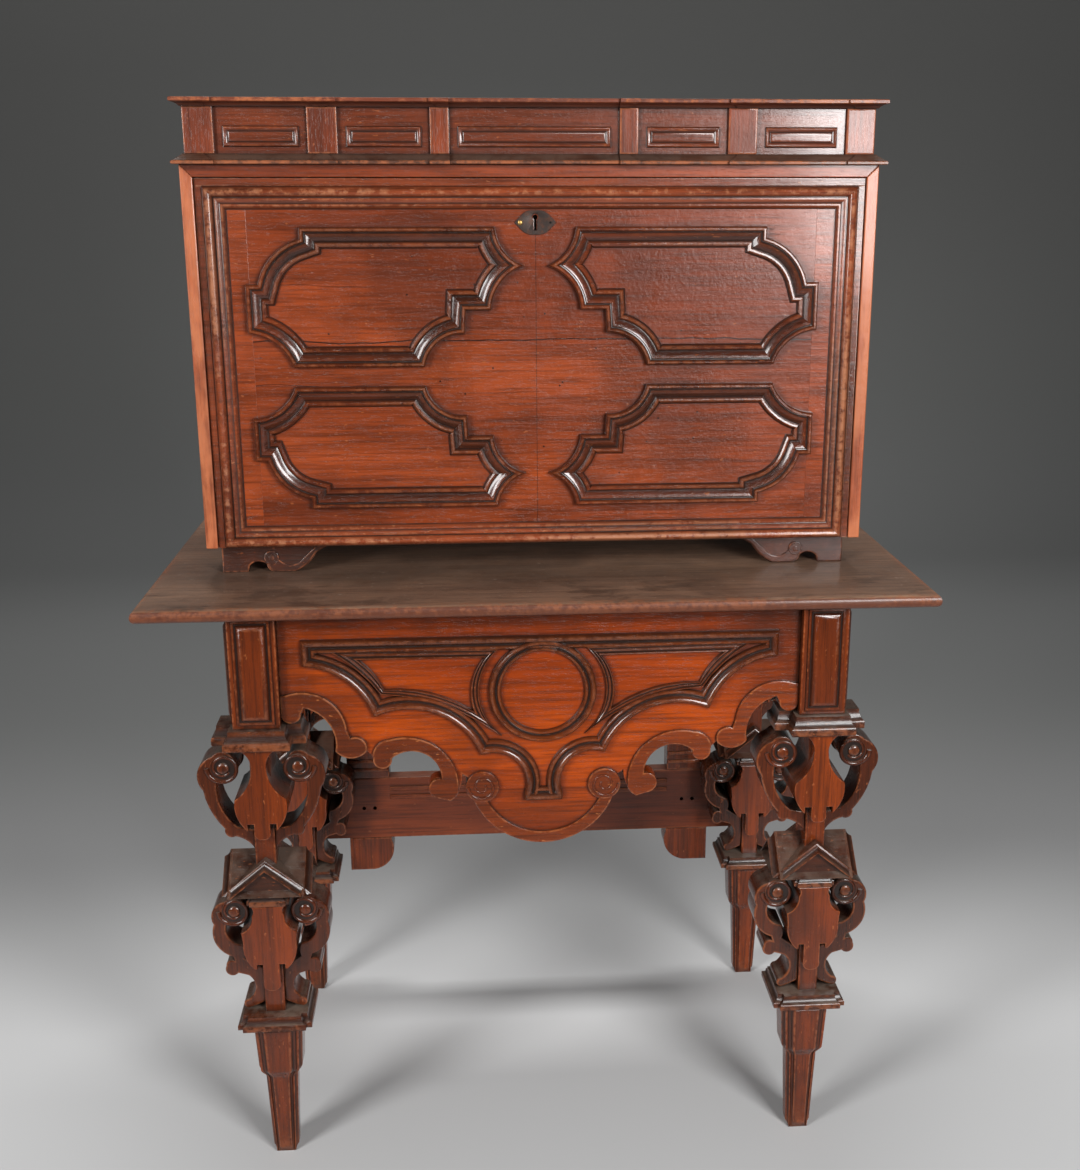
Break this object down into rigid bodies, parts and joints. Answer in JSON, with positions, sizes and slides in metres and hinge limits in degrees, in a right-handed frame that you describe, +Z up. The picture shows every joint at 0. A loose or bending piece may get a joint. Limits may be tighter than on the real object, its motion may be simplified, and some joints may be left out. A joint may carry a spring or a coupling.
{
  "type": "vargueno",
  "caption": "Drop-front writing chest with applied mouldings, a nest of drawers and a hidden frieze drawer, on a carved table stand with scrolled legs.",
  "frame": {"origin": "on the floor, under the middle of the table top", "axes": "+X to the right seen from the front, +Y to the back, +Z up; the fall front faces -Y"},
  "size_m": [1.072, 0.592, 1.499],
  "materials": {
    "leg_walnut": "satin",
    "apron_walnut": "satin",
    "moulding_walnut": "satin",
    "top_board": "satin",
    "frame_walnut": "satin",
    "case_walnut": "satin",
    "secondary_wood": "satin",
    "nest_walnut": "satin",
    "iron": "satin",
    "brass": "worn"
  },
  "bodies": {
    "stand_and_case": {"apron_mouldings": "moulding_walnut", "bracket_foot_left": "case_walnut", "bracket_foot_right": "case_walnut", "case_back": "secondary_wood", "case_bottom": "secondary_wood", "case_side_left": "case_walnut", "case_side_right": "case_walnut", "case_top": "case_walnut", "cornice_moulding": "moulding_walnut", "frieze_carcase": "secondary_wood", "frieze_front_left": "case_walnut", "frieze_front_right": "case_walnut", "frieze_top": "secondary_wood", "front_apron": "apron_walnut", "hinge_case_leaves": "iron", "hinge_pins": "iron", "ledge_moulding": "moulding_walnut", "leg_front_left": "leg_walnut", "leg_front_right": "leg_walnut", "leg_mouldings_front_left": "leg_walnut", "leg_mouldings_front_right": "leg_walnut", "leg_mouldings_rear_left": "leg_walnut", "leg_mouldings_rear_right": "leg_walnut", "leg_rear_left": "leg_walnut", "leg_rear_right": "leg_walnut", "leg_scrolls_front_left": "leg_walnut", "leg_scrolls_front_right": "leg_walnut", "leg_scrolls_rear_left": "leg_walnut", "leg_scrolls_rear_right": "leg_walnut", "lock_keeper": "iron", "nest_shelves": "nest_walnut", "nest_uprights": "nest_walnut", "rear_feet": "secondary_wood", "rear_pegs": "frame_walnut", "rear_posts": "frame_walnut", "rear_stretcher": "frame_walnut", "rear_top_rail": "frame_walnut", "side_aprons": "apron_walnut", "table_top": "top_board"},
    "fall": {"fall_board": "case_walnut", "fall_clamps": "case_walnut", "fall_frame_moulding": "moulding_walnut", "fall_panel_mouldings": "moulding_walnut", "escutcheon": "iron", "escutcheon_nail": "brass", "lock_case": "iron", "hinge_fall_leaves": "iron"},
    "lock_bolt": {"lock_bolt": "iron"},
    "frieze_drawer": {"frieze_drawer_front": "case_walnut", "frieze_drawer_box": "secondary_wood"},
    "drawer_left_1": {"drawer_left_1": "nest_walnut"},
    "drawer_left_2": {"drawer_left_2": "nest_walnut"},
    "drawer_left_3": {"drawer_left_3": "nest_walnut"},
    "drawer_centre_1": {"drawer_centre_1": "nest_walnut"},
    "drawer_centre_2": {"drawer_centre_2": "nest_walnut"},
    "drawer_right_1": {"drawer_right_1": "nest_walnut"},
    "drawer_right_2": {"drawer_right_2": "nest_walnut"},
    "drawer_right_3": {"drawer_right_3": "nest_walnut"}
  },
  "joints": [
    {"name": "fall_drop", "type": "hinge", "parent": "stand_and_case", "child": "fall", "pos_m": [0, -0.108, 0.9015], "axis": [1, 0, 0], "range_deg": [0, 90]},
    {"name": "bolt_slide", "type": "slide", "parent": "fall", "child": "lock_bolt", "axis": [0, 0, 1], "range_m": [0, 0.01]},
    {"name": "frieze_drawer_slide", "type": "slide", "parent": "stand_and_case", "child": "frieze_drawer", "axis": [0, -1, 0], "range_m": [0, 0.2]},
    {"name": "drawer_left_1_slide", "type": "slide", "parent": "stand_and_case", "child": "drawer_left_1", "axis": [0, -1, 0], "range_m": [0, 0.032]},
    {"name": "drawer_left_2_slide", "type": "slide", "parent": "stand_and_case", "child": "drawer_left_2", "axis": [0, -1, 0], "range_m": [0, 0.032]},
    {"name": "drawer_left_3_slide", "type": "slide", "parent": "stand_and_case", "child": "drawer_left_3", "axis": [0, -1, 0], "range_m": [0, 0.032]},
    {"name": "drawer_centre_1_slide", "type": "slide", "parent": "stand_and_case", "child": "drawer_centre_1", "axis": [0, -1, 0], "range_m": [0, 0.032]},
    {"name": "drawer_centre_2_slide", "type": "slide", "parent": "stand_and_case", "child": "drawer_centre_2", "axis": [0, -1, 0], "range_m": [0, 0.032]},
    {"name": "drawer_right_1_slide", "type": "slide", "parent": "stand_and_case", "child": "drawer_right_1", "axis": [0, -1, 0], "range_m": [0, 0.032]},
    {"name": "drawer_right_2_slide", "type": "slide", "parent": "stand_and_case", "child": "drawer_right_2", "axis": [0, -1, 0], "range_m": [0, 0.032]},
    {"name": "drawer_right_3_slide", "type": "slide", "parent": "stand_and_case", "child": "drawer_right_3", "axis": [0, -1, 0], "range_m": [0, 0.032]}
  ]
}
